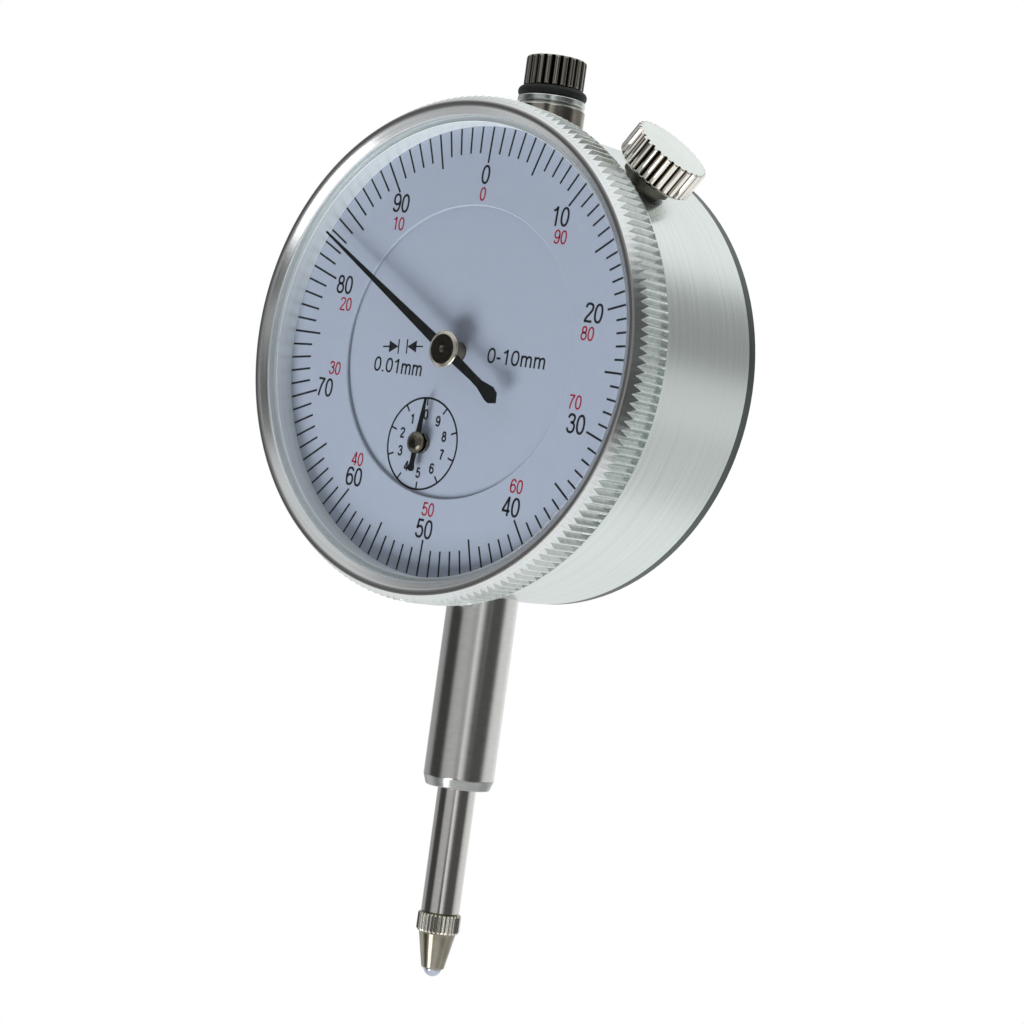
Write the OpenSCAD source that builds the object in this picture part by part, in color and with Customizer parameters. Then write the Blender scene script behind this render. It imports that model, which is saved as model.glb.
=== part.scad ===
// Plunger dial indicator, 0.01 mm divisions, 0 to 10 mm.
// +Z runs up along the spindle, the dial faces -Y, and the origin is on the
// spindle's axis at the middle of the stem's clamping length.

/* [Stem and spindle] */
// Clamping diameter of the stem
stem_d = 8; // [7:0.5:9.5]
// Diameter of the spindle
spindle_d = 4.36; // [4:0.02:4.6]
// Free travel of the spindle
travel = 10.3; // [5:0.1:11]
// Length of the stem below the case
stem_len = 21.5; // [15:0.5:24]
// Distance from the dial's front face back to the spindle's axis
dial_off = 10.4; // [10.3:0.05:10.5]

/* [Case] */
// Outer radius of the case wall
case_r = 26.5; // [26.4:0.05:27]
// Depth of the case's rear edge behind the dial's face
case_rear = 18.1; // [17.8:0.1:19]
// Thickness of the back cover
cover_t = 1.5; // [1.2:0.1:2.5]

/* [Bezel and dial] */
// Radius over the knurl's crests
knurl_r = 27.9; // [27.7:0.05:28.4]
// Depth of the knurl's grooves
knurl_depth = 0.42; // [0.2:0.02:0.5]
// Number of knurl ridges on the bezel
knurl_n = 180; // [90:10:200]
// Radius of the hole in the outer dial ring
inner_dial_r = 16.25; // [15:0.05:17]
// Clockwise turn of the outer dial at rest, in degrees
dial_turn = 2.68; // [0:0.01:10]

/* [Gear train] */
// Pitch of the rack's teeth
rack_pitch = 0.625; // [0.62:0.001:0.63]
// Teeth of the rack pinion
pinion_n = 16; // [16:1:16]
// Teeth of the centre pinion
centre_n = 10; // [10:1:10]
// Teeth of the rack wheel and of the hairspring wheel
wheel_n = 100; // [100:1:100]
// Gap left between meshing teeth along the pitch line
backlash = 0.10; // [0.06:0.01:0.14]

/* [Pointers] */
// Length of the main pointer from its axis
main_len = 23.9; // [15:0.1:24.2]
// Clockwise angle of the main pointer at rest, in degrees
main_angle = 301.5; // [0:0.1:360]
// Length of the small pointer from its axis
small_len = 5.05; // [3:0.05:5.3]
// Clockwise angle of the small pointer at rest, in degrees
small_angle = 5.8; // [0:0.1:360]

/* [Clamp] */
// Clockwise angle of the clamp knob around the case, in degrees
clamp_angle = 40.2; // [38:0.1:42]
// Radius of the clamp knob
clamp_r = 4.55; // [3.5:0.05:4.6]

/* [Hidden] */
$fn = 96;
m = rack_pitch / PI;                   // module of every gear
r16 = pinion_n * m / 2;
r10 = centre_n * m / 2;
r100 = wheel_n * m / 2;
cd = r10 + r100;                       // centre distance of the train
rack_x = 1.8585;                       // rack's pitch line, left of the axis
c1 = [-(rack_x + r16), -sqrt(cd * cd - pow(rack_x + r16, 2))];  // rack arbor
a1 = atan2(-c1[1], -c1[0]);            // direction rack arbor -> centre
a3 = 30;                               // direction centre -> hairspring arbor
c3 = [cd * cos(a3), cd * sin(a3)];
spindle_r = spindle_d / 2;
stem_r = stem_d / 2;
stem_top = -26.5;                      // heights named w are from the dial's centre
stem_bot = stem_top - stem_len;
stem_cham = 1.2;
dial_z = -(stem_top + stem_bot + stem_cham) / 2;
bore_r = 25.80;                        // case bore that guides the bezel
sleeve_r = 25.75;                      // bezel sleeve
case_in = 25.0;                        // rear cavity
web0 = 6.8;                            // web of the case, front and rear
web1 = 8.0;
cap_w = 31.42;                         // lower edge of the lifting cap
front_pillars_a = [105, 165, 240, 340];
cover_a = [45, 135, 225, 315];
rear_post = [[-10.5, -6.5], [-10.5, 12.5], [11.5, 14], [11.5, -6.5]];
clamp_d = 7.24;                        // depth of the clamp's axis
pin_w = 8;                             // guide pin, above the dial's centre
spring_x = 6.1;
anchor_w = -17;

// ---- placing helpers ----
// Drawing plane of the dial: x right, y up as seen from the front, at depth d.
module at(d) translate([0, d - dial_off, dial_z]) rotate([90, 0, 0]) children();
// A flat shape between two depths.
module slab(d0, d1) at(d1) linear_extrude(d1 - d0) children();
// A turned shape about the dial's axis; points are [radius, depth].
module turned(pts) at(0) rotate_extrude($fn = 180) polygon([for (p = pts) [p[0], -p[1]]]);
// A round bar along the dial's axis at pos.
module rod(pos, r, d0, d1) slab(d0, d1) translate(pos) circle(r);
// A turned shape about an axis parallel to the dial's, at pos.
module turned_at(pos, pts) at(0) translate([pos[0], pos[1], 0])
  rotate_extrude() polygon([for (p = pts) [p[0], -p[1]]]);
// A turned shape about the spindle's axis; points are [radius, height above dial centre].
module upright(pts) translate([0, 0, dial_z]) rotate_extrude() polygon(pts);
// Clockwise polar position in the drawing plane.
function pol(r, a) = [r * sin(a), r * cos(a)];
// The clamp's frame: +Z outward along the clamp's axis, from the dial's axis.
module clamp_frame() translate([0, clamp_d - dial_off, dial_z]) rotate([0, clamp_angle, 0]) children();

// ---- teeth ----
// Outline of a spur gear with straight-flanked teeth thinned for backlash.
function gear_pts(n, add, ded, thin) = let (r = n * m / 2,
    half = (rack_pitch / 2 - thin) / 2 / r * 180 / PI)
  [for (i = [0:n - 1]) each [
    [r - ded, -half * 1.28], [r, -half], [r + add * 0.62, -half * 0.66], [r + add, -half * 0.36],
    [r + add, half * 0.36], [r + add * 0.62, half * 0.66], [r, half], [r - ded, half * 1.28]]
    ] ;
function polar_gear(n, add, ded, thin, phase) = let (g = gear_pts(n, add, ded, thin), p = 360 / n)
  [for (i = [0:n * 8 - 1]) let (k = floor(i / 8), q = g[i], a = phase + k * p + q[1]) [q[0] * cos(a), q[0] * sin(a)]];
// A spoked wheel with its teeth.
module toothed_wheel(phase) difference() {
  polygon(polar_gear(wheel_n, 0.16, 0.27, backlash / 2, phase));
  difference() {
    circle(r100 - 1.1);
    circle(1.6);
    for (k = [0:3]) rotate(k * 90 + 20) translate([5, 0]) square([12, 1.1], center = true);
  }
}
// Outline of a straight knurl: n sharp ridges.
function knurl_pts(n, r, depth) = [for (i = [0:n - 1]) each
  [[r * cos(i * 360 / n), r * sin(i * 360 / n)],
   [(r - depth) * cos((i + 0.5) * 360 / n), (r - depth) * sin((i + 0.5) * 360 / n)]]];

// ---- case and its fixed parts ----
module case() color([0.72, 0.74, 0.73]) difference() {
  union() {
    turned([[bore_r, 1.6], [case_r - 0.12, 1.6], [case_r, 1.75], [case_r, case_rear], [case_in, case_rear],
      [case_in, web1], [4.2, web1], [4.2, web0], [bore_r, web0]]);
    // bosses for the stem and for the upper bush
    for (s = [-1, 1]) intersection() {
      slab(web0, 14.6) translate([-5.6, s > 0 ? 21.2 : -25.6]) square([11.2, 4.4]);
      turned([[0, web0], [case_in + 0.5, web0], [case_in + 0.5, 14.6], [0, 14.6]]);
    }
    // bosses for the cover's screws
    for (a = cover_a) rod(pol(23.2, a), 2.1, 11, 17.04);
    // centre of the web
    slab(web0, web1) circle(6);
  }
  // stem bore and counterbore, from below
  upright([[0, -28], [3.51, -28], [3.51, -25.7], [3.2, -25.7], [3.2, -20], [0, -20]]);
  // upper bush bore and counterbore
  upright([[0, 20], [3.2, 20], [3.2, 25.8], [3.96, 25.8], [3.96, 28], [0, 28]]);
  // openings of the web
  rod([0, 0], 1.2, web0 - 1, web1 + 1);
  rod(c3, 1.2, web0 - 1, web1 + 1);
  rod(c1, 2.4, web0 - 1, web1 + 1);
  // window in the web for the clamp shoe
  slab(web0 - 0.2, web1 + 0.2) rotate(-clamp_angle) translate([-3.2, 20.6]) square([6.4, 4.2]);
  // hole for the clamp bush
  clamp_frame() translate([0, 0, 22]) cylinder(r = 2.3, h = 8, $fn = 64);
  // tapped holes for the cover's screws
  for (a = cover_a) rod(pol(23.2, a), 0.8, 13.4, 18);
  // groove for the bezel's snap wire
  turned([[25.6, 2.6], [26.1, 2.6], [26.1, 3.2], [25.6, 3.2]]);
  // tapped holes for the pillars
  for (a = front_pillars_a) rod(pol(22.3, a), 0.7, web0 - 0.1, web1 + 0.1);
  for (p = rear_post) rod(p, 0.7, web0 - 0.1, web1 + 0.1);
  rod([spring_x, anchor_w], 0.7, web0 - 0.1, web1 + 0.1);
}

module back_cover() color([0.25, 0.27, 0.28]) difference() {
  turned([[0, 17.4], [24.1, 17.4], [24.1, 17.05], [24.95, 17.05], [24.95, case_rear], [case_r - 0.05, case_rear],
    [case_r - 0.05, case_rear + cover_t - 0.25], [case_r - 0.3, case_rear + cover_t], [0, case_rear + cover_t]]);
  for (a = cover_a) turned_at(pol(23.2, a), [[0, 16], [0.95, 16], [0.95, case_rear + cover_t - 0.95],
    [1.75, case_rear + cover_t - 0.15], [1.75, case_rear + cover_t + 1], [0, case_rear + cover_t + 1]]);
}

module cover_screws() color([0.78, 0.78, 0.78]) for (a = cover_a) difference() {
  turned_at(pol(23.2, a), [[0, 13.6], [0.78, 13.6], [0.78, case_rear + cover_t - 1.02],
    [1.7, case_rear + cover_t - 0.1], [1.7, case_rear + cover_t - 0.02], [0, case_rear + cover_t - 0.02]]);
  slab(case_rear + cover_t - 0.5, case_rear + cover_t + 1) translate(pol(23.2, a)) rotate(a * 7) square([5, 0.45], center = true);
}

module stem() color([0.62, 0.62, 0.60]) upright([[3.0, stem_bot], [stem_r - 0.4, stem_bot], [stem_r, stem_bot + stem_cham],
  [stem_r, stem_top], [3.5, stem_top], [3.5, -25.7], [3.19, -25.7],
  [3.19, -21.6], [2.6, -21.6], [2.6, stem_bot + 8], [3.0, stem_bot + 8]]);
module lower_guide_bush() color([0.72, 0.56, 0.28]) upright([[spindle_r + 0.02, stem_bot + 0.3], [2.99, stem_bot + 0.3],
  [2.99, stem_bot + 8], [spindle_r + 0.02, stem_bot + 8]]);
module upper_guide_bush() color([0.80, 0.78, 0.70]) upright([[spindle_r + 0.02, 22], [3.19, 22], [3.19, 25.8], [3.95, 25.8],
  [3.95, 29.2], [3.55, 29.6], [spindle_r + 0.02, 29.6]]);
module top_washer() color([0.70, 0.72, 0.70]) upright([[2.3, 29.6], [3.72, 29.6], [3.86, 29.74], [3.86, 30.16], [3.72, 30.3], [2.3, 30.3]]);

module dial_plate() color([0.78, 0.66, 0.35]) difference() {
  turned([[0, 0.87], [15, 0.87], [15, 1.2], [23.9, 1.2], [23.9, 2.4], [0, 2.4]]);
  rod([0, 0], 1.1, 0, 3);
  rod(c1, 1.1, 0, 3);
  rod(c3, 1.1, 0, 3);
  for (a = front_pillars_a) rod(pol(22.3, a), 0.75, 0, 3);
  for (a = front_pillars_a) rod(pol(22.3, a), 1.35, 0, 1.75);
  for (a = [80, 280]) rod(pol(12, a), 0.5, 0, 3);
  // flat that clears the clamp shoe
  slab(0, 3) rotate(-clamp_angle) translate([-4, 23.3]) square([8, 2]);
}
module dial_plate_pillars() color([0.80, 0.68, 0.38]) for (a = front_pillars_a) difference() {
  union() { rod(pol(22.3, a), 1.15, 2.4, web0); rod(pol(22.3, a), 0.68, web0 - 0.1, web1); }
  rod(pol(22.3, a), 0.5, 2, 5.4);
}
module dial_plate_screws() color([0.6, 0.6, 0.62]) for (a = front_pillars_a) difference() {
  turned_at(pol(22.3, a), [[0, 1.25], [1.25, 1.25], [1.25, 1.75], [0.48, 1.75], [0.48, 5.0], [0, 5.0]]);
  slab(0.5, 1.5) translate(pol(22.3, a)) rotate(a) square([3, 0.3], center = true);
}

module rear_plate() color([0.78, 0.66, 0.35]) difference() {
  slab(13.4, 14.5) difference() {
    hull() { for (p = rear_post) translate(p) circle(2.2, $fn = 32); translate(c1) circle(3, $fn = 32); }
    translate([0, 17]) circle(3);
  }
  rod(c1, 1.1, 13, 15);
  for (p = rear_post) rod(p, 0.75, 13, 15);
}
module rear_plate_pillars() color([0.80, 0.68, 0.38]) for (p = rear_post) difference() {
  union() { rod(p, 1.5, web1, 13.4); rod(p, 0.68, web0, web1 + 0.1); }
  rod(p, 0.5, 10.4, 14);
}
module rear_plate_screws() color([0.6, 0.6, 0.62]) for (p = rear_post) difference() {
  turned_at(p, [[0, 10.8], [0.48, 10.8], [0.48, 14.5], [1.3, 14.5], [1.3, 15.1], [0, 15.1]]);
  slab(14.8, 16) translate(p) rotate(p[0] * 11) square([3, 0.3], center = true);
}
// Bearings of the three arbors.
module bush(pos, r, d0, d1) turned_at(pos, [[r, d0], [1.1, d0], [1.1, d1], [r, d1]]);
module arbor_bushes() color([0.72, 0.25, 0.30]) {
  bush([0, 0], 0.53, 1.0, 2.4);
  bush(c1, 0.53, 1.0, 2.4);
  bush(c3, 0.38, 1.4, 2.4);
  turned_at([0, 0], [[0.38, web0], [1.2, web0], [1.2, web1], [0.38, web1]]);
  turned_at(c3, [[0.38, web0], [1.2, web0], [1.2, web1], [0.38, web1]]);
  bush(c1, 0.43, 13.4, 14.5);
}
module guide_plate() color([0.66, 0.66, 0.66]) difference() {
  slab(web1, 13.4) translate([3.1, 4.5]) square([1.2, 16.5]);
  hull() for (w = [pin_w - 0.02, pin_w + travel + 0.1])
    translate([2, 0, dial_z + w]) rotate([0, 90, 0]) cylinder(r = 0.86, h = 4, $fn = 32);
}
module spring_anchor() color([0.6, 0.6, 0.6]) union() {
  rod([spring_x, anchor_w], 0.68, web0, web1 + 0.1);
  rod([spring_x, anchor_w], 1.1, web1, web1 + 0.6);
  rod([spring_x, anchor_w], 0.6, web1 + 0.5, 11.8);
}

// A closed tube along a list of points; the ring's frame is given per point.
function ring(p, a, b, r, k) = [for (j = [0:k - 1]) let (t = j * 360 / k) p + r * (cos(t) * a + sin(t) * b)];
module tube(pts, na, nb, r, k) {
  n = len(pts);
  polyhedron([for (i = [0:n - 1]) each ring(pts[i], na[i], nb[i], r, k)],
    concat([[for (j = [0:k - 1]) j]], [[for (j = [k - 1:-1:0]) (n - 1) * k + j]],
      [for (i = [0:n - 2]) for (j = [0:k - 1]) [i * k + j, (i + 1) * k + j, (i + 1) * k + (j + 1) % k, i * k + (j + 1) % k]]));
}
// Extension spring from the anchor up to the guide pin.
module return_spring() {
  turns = 26;
  seg = 14;
  z0 = anchor_w + 0.9;
  z1 = pin_w - 1.2;
  rs = 1.15;
  n = turns * seg;
  color([0.55, 0.55, 0.58]) translate([spring_x, 0, dial_z])
    tube([for (i = [0:n]) [rs * cos(i * 360 / seg), rs * sin(i * 360 / seg), z0 + (z1 - z0) * i / n]],
      [for (i = [0:n]) [cos(i * 360 / seg), sin(i * 360 / seg), 0]],
      [for (i = [0:n]) [0, 0, 1]], 0.2, 6);
}
// Flat spiral from the collet out to the stud.
module hairspring() {
  turns = 6.5;
  n = floor(turns * 28);
  r0 = 1.05;
  r1 = 4.6;
  th = 0.09;
  color([0.45, 0.45, 0.5]) slab(5.95, 6.25) translate(c3) polygon(concat(
    [for (i = [0:n]) let (r = r0 + (r1 - r0) * i / n + th / 2, a = i * 360 / 28) [r * cos(a), r * sin(a)]],
    [for (i = [n:-1:0]) let (r = r0 + (r1 - r0) * i / n - th / 2, a = i * 360 / 28) [r * cos(a), r * sin(a)]]));
}
hs_a = floor(6.5 * 28) * 360 / 28;
module hairspring_stud() color([0.80, 0.68, 0.38]) difference() {
  rod(c3 + 4.95 * [cos(hs_a), sin(hs_a)], 0.5, 5.75, web0);
  slab(5.9, 6.3) translate(c3) difference() { circle(4.78); circle(3.9); }
}

module inner_dial() color([0.65, 0.69, 0.76]) difference() {
  union() {
    slab(0.45, 0.87) circle(17);
    for (a = [80, 280]) rod(pol(12, a), 0.48, 0.8, 2.3);
  }
  rod([0, 0], 1.3, 0, 2);
  rod(c1, 1.3, 0, 2);
}
module bezel_snap_wire() color([0.5, 0.5, 0.5]) difference() {
  turned([[25.62, 2.68], [26.05, 2.68], [26.05, 3.12], [25.62, 3.12]]);
  slab(2, 4) rotate(-clamp_angle) translate([-4.5, 20]) square([9, 10]);
}
module clamp_bush() color([0.70, 0.70, 0.68]) clamp_frame() rotate_extrude($fn = 64)
  polygon([[1.08, 26.0], [2.3, 26.0], [2.3, 26.85], [2.9, 26.85], [2.9, 27.75], [1.08, 27.75]]);

// ---- spindle and what rides on it ----
module spindle() color([0.62, 0.62, 0.60]) difference() {
  upright([[0, -62.2], [spindle_r - 0.15, -62.2], [spindle_r, -62.05], [spindle_r, 30.2], [1.6, 30.2], [1.6, 33.6], [0, 33.6]]);
  // rack: a flat with teeth, on the left side
  translate([0, 0, dial_z]) rotate([90, 0, 0]) translate([0, 0, -3]) linear_extrude(6) polygon(concat(
    [[-4, c1[1] - travel - 1.6], [-4, c1[1] + 1.6]],
    [for (k = [2:-1:-19]) let (w = c1[1] + k * rack_pitch, h = (rack_pitch / 2 - backlash / 2) / 2) each [
      [-rack_x - 0.16, w + h * 0.62], [-rack_x - 0.16, w - h * 0.62],
      [-rack_x + 0.25, w - h * 1.35], [-rack_x + 0.25, w - rack_pitch + h * 1.35]]]));
  // tapped hole for the contact point
  upright([[0, -63], [1.0, -63], [1.0, -57.5], [0, -57.5]]);
  // hole for the guide pin
  translate([0.4, 0, dial_z + pin_w]) rotate([0, 90, 0]) cylinder(r = 0.6, h = 4);
}
module guide_pin() color([0.55, 0.55, 0.58]) translate([0, 0, dial_z + pin_w]) rotate([0, 90, 0]) difference() {
  union() {
    translate([0, 0, 0.5]) cylinder(r = 0.58, h = 2);
    translate([0, 0, 2.3]) cylinder(r = 0.8, h = 5.2);
  }
  // groove that holds the spring's end
  translate([0, 0, spring_x - 0.3]) difference() { cylinder(r = 2, h = 0.6); cylinder(r = 0.5, h = 0.6); }
}
module lifting_cap() color([0.30, 0.29, 0.27]) difference() {
  union() {
    translate([0, 0, dial_z + cap_w]) linear_extrude(3.3) polygon(knurl_pts(22, 3.45, 0.17));
    upright([[0, 34.6], [3.28, 34.6], [3.18, 34.9], [0, 34.9]]);
    upright([[0, 30.4], [2.88, 30.4], [2.88, 31.5], [0, 31.5]]);
  }
  upright([[0, 30], [spindle_r + 0.03, 30], [spindle_r + 0.03, 30.6], [1.62, 30.6], [1.62, 33.8], [0, 33.8]]);
}
module rubber_ring() color([0.08, 0.08, 0.08]) upright([[2.88, 30.32], [3.55, 30.32], [3.85, 30.48], [3.95, 30.8],
  [3.9, 31.08], [3.6, 31.4], [2.88, 31.4]]);
module contact_point() color([0.70, 0.69, 0.66]) difference() {
  union() {
    translate([0, 0, dial_z - 64.45]) linear_extrude(2.25) polygon(knurl_pts(30, 2.46, 0.13));
    upright([[0, -68.55], [1.12, -68.55], [1.3, -68.4], [2.1, -64.45], [0, -64.45]]);
    upright([[0, -62.3], [0.97, -62.3], [0.97, -58], [0, -58]]);
  }
  upright([[0, -69], [1.06, -69], [1.06, -67.3], [0, -67.3]]);
}
module contact_ball() color([0.55, 0.58, 0.64]) translate([0, 0, dial_z - 68.4]) sphere(r = 1.05, $fn = 64);

// ---- gear train ----
module rack_arbor() color([0.70, 0.70, 0.70]) union() {
  slab(8.7, 12.2) translate(c1) polygon(polar_gear(pinion_n, 0.16, 0.25, backlash / 2, 360 / pinion_n / 2));
  turned_at(c1, [[0, -0.55], [0.5, -0.55], [0.5, 2.5], [0.9, 2.5], [0.9, 8.7], [0, 8.7]]);
  turned_at(c1, [[0, 12.2], [0.9, 12.2], [0.9, 13.2], [0.4, 13.2], [0.4, 14.4], [0, 14.4]]);
}
module rack_wheel() color([0.82, 0.70, 0.36]) slab(3.5, 4.0) difference() {
  translate(c1) toothed_wheel(a1);
  translate(c1) circle(0.9);
}
pinion_phase = a1 + 180 + 18;
module centre_arbor() color([0.70, 0.70, 0.70]) union() {
  slab(3.1, 5.9) polygon(polar_gear(centre_n, 0.16, 0.27, backlash / 2, pinion_phase));
  turned_at([0, 0], [[0, -2.1], [0.5, -2.1], [0.5, 3.1], [0, 3.1]]);
  turned_at([0, 0], [[0, 5.9], [0.7, 5.9], [0.7, 6.7], [0.35, 6.7], [0.35, 7.9], [0, 7.9]]);
}
off3 = let (q = (pinion_phase - a3) % 36) q > 18 ? q - 36 : q;
module hairspring_wheel() color([0.82, 0.70, 0.36]) slab(5.0, 5.5) difference() {
  translate(c3) toothed_wheel(a3 + 180 - off3 * centre_n / wheel_n + 180 / wheel_n);
  translate(c3) circle(0.7);
}
module hairspring_arbor() color([0.70, 0.70, 0.70]) turned_at(c3, [[0, 1.5], [0.35, 1.5], [0.35, 2.6], [0.7, 2.6],
  [0.7, 6.6], [0.35, 6.6], [0.35, 7.9], [0, 7.9]]);
module hairspring_collet() color([0.82, 0.70, 0.36]) turned_at(c3, [[0.7, 5.7], [0.98, 5.7], [0.98, 6.45], [0.7, 6.45]]);

// ---- pointers ----
module main_pointer() color([0.05, 0.05, 0.05]) difference() {
  union() {
    slab(-1.95, -1.75) circle(1.5);
    slab(-1.95, -1.75) rotate(-main_angle)
      polygon([[-0.12, main_len], [0.12, main_len - 0.1], [0.58, 2.0], [0.55, -2.4], [0.46, -5.2], [0.46, -6.6], [0.84, -8.4],
        [0.62, -9.25], [-0.3, -9.85], [-0.9, -9.0], [-0.92, -8.4], [-0.5, -6.6], [-0.46, -5.2], [-0.55, -2.4], [-0.58, 2.0]]);
  }
  slab(-2.2, -1.5) circle(0.95);
}
module main_pointer_hub() color([0.62, 0.56, 0.44]) turned_at([0, 0], [[0.5, -2.15], [0.28, -2.28], [1.68, -2.28], [2.05, -2.1],
  [2.05, -1.95], [0.95, -1.95], [0.95, -1.75], [1.25, -1.75], [1.25, -1.35], [1.02, -1.2], [1.02, 0.4], [0.5, 0.4]]);
module small_pointer() color([0.05, 0.05, 0.05]) difference() {
  union() {
    rod(c1, 0.95, -0.62, -0.47);
    slab(-0.62, -0.47) translate(c1) rotate(-small_angle)
      polygon([[-0.12, small_len], [0.12, small_len], [0.34, 1.0], [0.32, -2.4], [0.42, -2.7], [0.36, -3.05], [0.12, -3.2],
        [-0.12, -3.2], [-0.36, -3.05], [-0.42, -2.7], [-0.32, -2.4], [-0.34, 1.0]]);
  }
  rod(c1, 0.7, -0.8, -0.3);
}
module small_pointer_hub() color([0.30, 0.28, 0.24]) turned_at(c1, [[0, -1.14], [0.45, -1.1], [0.95, -0.92], [1.23, -0.62],
  [0.7, -0.62], [0.7, -0.47], [1.1, -0.47], [1.1, 0.38], [0.5, 0.38], [0.5, -0.55], [0, -0.55]]);

// ---- bezel ----
module bezel() color([0.72, 0.74, 0.73]) difference() {
  union() {
    turned([[20, -2.4], [25.6, -2.4], [25.6, -3.15], [26.6, -3.85], [27.0, -3.85], [27.1, -3.75], [27.6, -2.35],
      [27.6, 1.37], [25.75, 1.37], [25.75, 2.6], [25.55, 2.6], [25.55, 3.2], [25.75, 3.2], [25.75, 5.9], [20, 5.9]]);
    slab(-2.1, 1.2) polygon(knurl_pts(knurl_n, knurl_r, knurl_depth));
  }
  turned([[0, -3], [25.05, -3], [25.05, 0], [25.3, 0], [25.3, 7], [0, 7]]);
}
module crystal() color([0.85, 0.92, 0.95, 0.35]) turned([[0, -3.2], [25.44, -3.2], [25.59, -3.05], [25.59, -2.4], [0, -2.4]]);
module outer_dial() color([0.65, 0.69, 0.76]) slab(0, 0.4) difference() { circle(25.28); circle(inner_dial_r); }
module dial_retaining_ring() color([0.5, 0.5, 0.5]) slab(0.4, 1.1) difference() {
  circle(25.29);
  circle(24.5);
}

// ---- bezel clamp ----
module clamp_knob() color([0.75, 0.73, 0.68]) clamp_frame() union() {
  translate([0, 0, 28.2]) linear_extrude(3.05) polygon(knurl_pts(30, clamp_r, 0.26));
  rotate_extrude() polygon([[0, 31.0], [4.25, 31.0], [4.25, 31.4], [4.05, 31.6], [0, 31.6]]);
  rotate_extrude() polygon([[0, 27.8], [3.9, 27.8], [4.3, 28.1], [4.3, 28.6], [0, 28.6]]);
  translate([0, 0, 22]) cylinder(r = 1.0, h = 6);
}
// Hook that pulls the bezel's sleeve outward against the case bore.
module clamp_shoe() color([0.78, 0.66, 0.35]) difference() {
  union() {
    slab(5.0, 9.4) rotate(-clamp_angle) translate([-2.6, 21.4]) square([5.2, 1.9]);
    intersection() {
      slab(3.4, 5.6) rotate(-clamp_angle) translate([-2.6, 21.4]) square([5.2, 5]);
      turned([[0, 3], [25.22, 3], [25.22, 6], [0, 6]]);
    }
  }
  clamp_frame() translate([0, 0, 20]) cylinder(r = 1.05, h = 6);
}

case();
back_cover();
cover_screws();
stem();
lower_guide_bush();
upper_guide_bush();
top_washer();
dial_plate();
dial_plate_pillars();
dial_plate_screws();
rear_plate();
rear_plate_pillars();
rear_plate_screws();
arbor_bushes();
guide_plate();
spring_anchor();
return_spring();
hairspring();
hairspring_stud();
inner_dial();
bezel_snap_wire();
clamp_bush();
spindle();
guide_pin();
lifting_cap();
rubber_ring();
contact_point();
contact_ball();
rack_arbor();
rack_wheel();
small_pointer();
small_pointer_hub();
centre_arbor();
main_pointer();
main_pointer_hub();
hairspring_arbor();
hairspring_wheel();
hairspring_collet();
bezel();
crystal();
outer_dial();
dial_retaining_ring();
clamp_knob();
clamp_shoe();
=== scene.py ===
import math
import bmesh
import bpy
import numpy as np
from mathutils import Matrix, Vector


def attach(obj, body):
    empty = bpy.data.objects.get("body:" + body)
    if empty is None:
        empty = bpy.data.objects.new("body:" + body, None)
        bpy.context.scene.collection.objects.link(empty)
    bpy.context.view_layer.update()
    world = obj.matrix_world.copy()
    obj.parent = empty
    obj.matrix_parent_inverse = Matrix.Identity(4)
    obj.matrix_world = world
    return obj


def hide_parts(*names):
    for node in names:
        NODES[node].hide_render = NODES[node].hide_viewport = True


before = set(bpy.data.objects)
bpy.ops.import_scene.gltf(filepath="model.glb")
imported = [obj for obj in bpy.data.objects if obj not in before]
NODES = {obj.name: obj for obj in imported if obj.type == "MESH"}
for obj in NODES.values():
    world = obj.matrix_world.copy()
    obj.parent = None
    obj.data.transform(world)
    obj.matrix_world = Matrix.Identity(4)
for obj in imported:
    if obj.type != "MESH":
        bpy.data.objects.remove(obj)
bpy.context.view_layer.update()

MM = 0.001
DZ = 36.65      # the dial's centre above the origin, mm
DO = 10.4       # the dial's front face in front of the spindle's axis, mm
TURN = math.radians(2.68)     # the outer dial is turned clockwise by this at rest


# ------------------------------------------------------------------ frames
def mat_rows(x, y, z, o):
    m = Matrix.Identity(4)
    for i, v in enumerate((x, y, z, o)):
        for r in range(3):
            m[r][i] = v[r]
    return m


# local x right, y up, z towards the viewer, from the dial's front face
DIAL = mat_rows((1, 0, 0), (0, 0, 1), (0, -1, 0), (0, -DO, DZ))
# along the spindle
SPIN = mat_rows((1, 0, 0), (0, 1, 0), (0, 0, 1), (0, 0, DZ))
CA = math.radians(40.2)
CD = 7.24
# along the clamp's axis, from the dial's axis outward; local x along the rim, y towards the back
CLAMP = mat_rows((math.cos(CA), 0, -math.sin(CA)), (0, 1, 0), (math.sin(CA), 0, math.cos(CA)), (0, CD - DO, DZ))
C1 = (-3.45, -10.3838)


# ------------------------------------------------------------------ meshes
def new_object(name, verts, faces, M, body, mats, smooth=True, sharp=32.0, face_mats=None):
    me = bpy.data.meshes.new(name)
    v = np.asarray(verts, float)
    M3 = np.array([[M[r][c] for c in range(3)] for r in range(3)])
    t = np.array([M[r][3] for r in range(3)])
    v = (v @ M3.T + t) * MM
    me.from_pydata([tuple(p) for p in v], [], [tuple(int(i) for i in f) for f in faces])
    me.validate()
    bm = bmesh.new()
    bm.from_mesh(me)
    bmesh.ops.remove_doubles(bm, verts=bm.verts, dist=1e-8)
    bmesh.ops.recalc_face_normals(bm, faces=bm.faces)
    bm.to_mesh(me)
    bm.free()
    if smooth:
        me.polygons.foreach_set("use_smooth", [True] * len(me.polygons))
        me.set_sharp_from_angle(angle=math.radians(sharp))
    for m in (mats if isinstance(mats, (list, tuple)) else [mats]):
        me.materials.append(m)
    if face_mats is not None and len(face_mats) == len(me.polygons):
        me.polygons.foreach_set("material_index", face_mats)
    ob = bpy.data.objects.new(name, me)
    bpy.context.scene.collection.objects.link(ob)
    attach(ob, body)
    return ob


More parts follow.
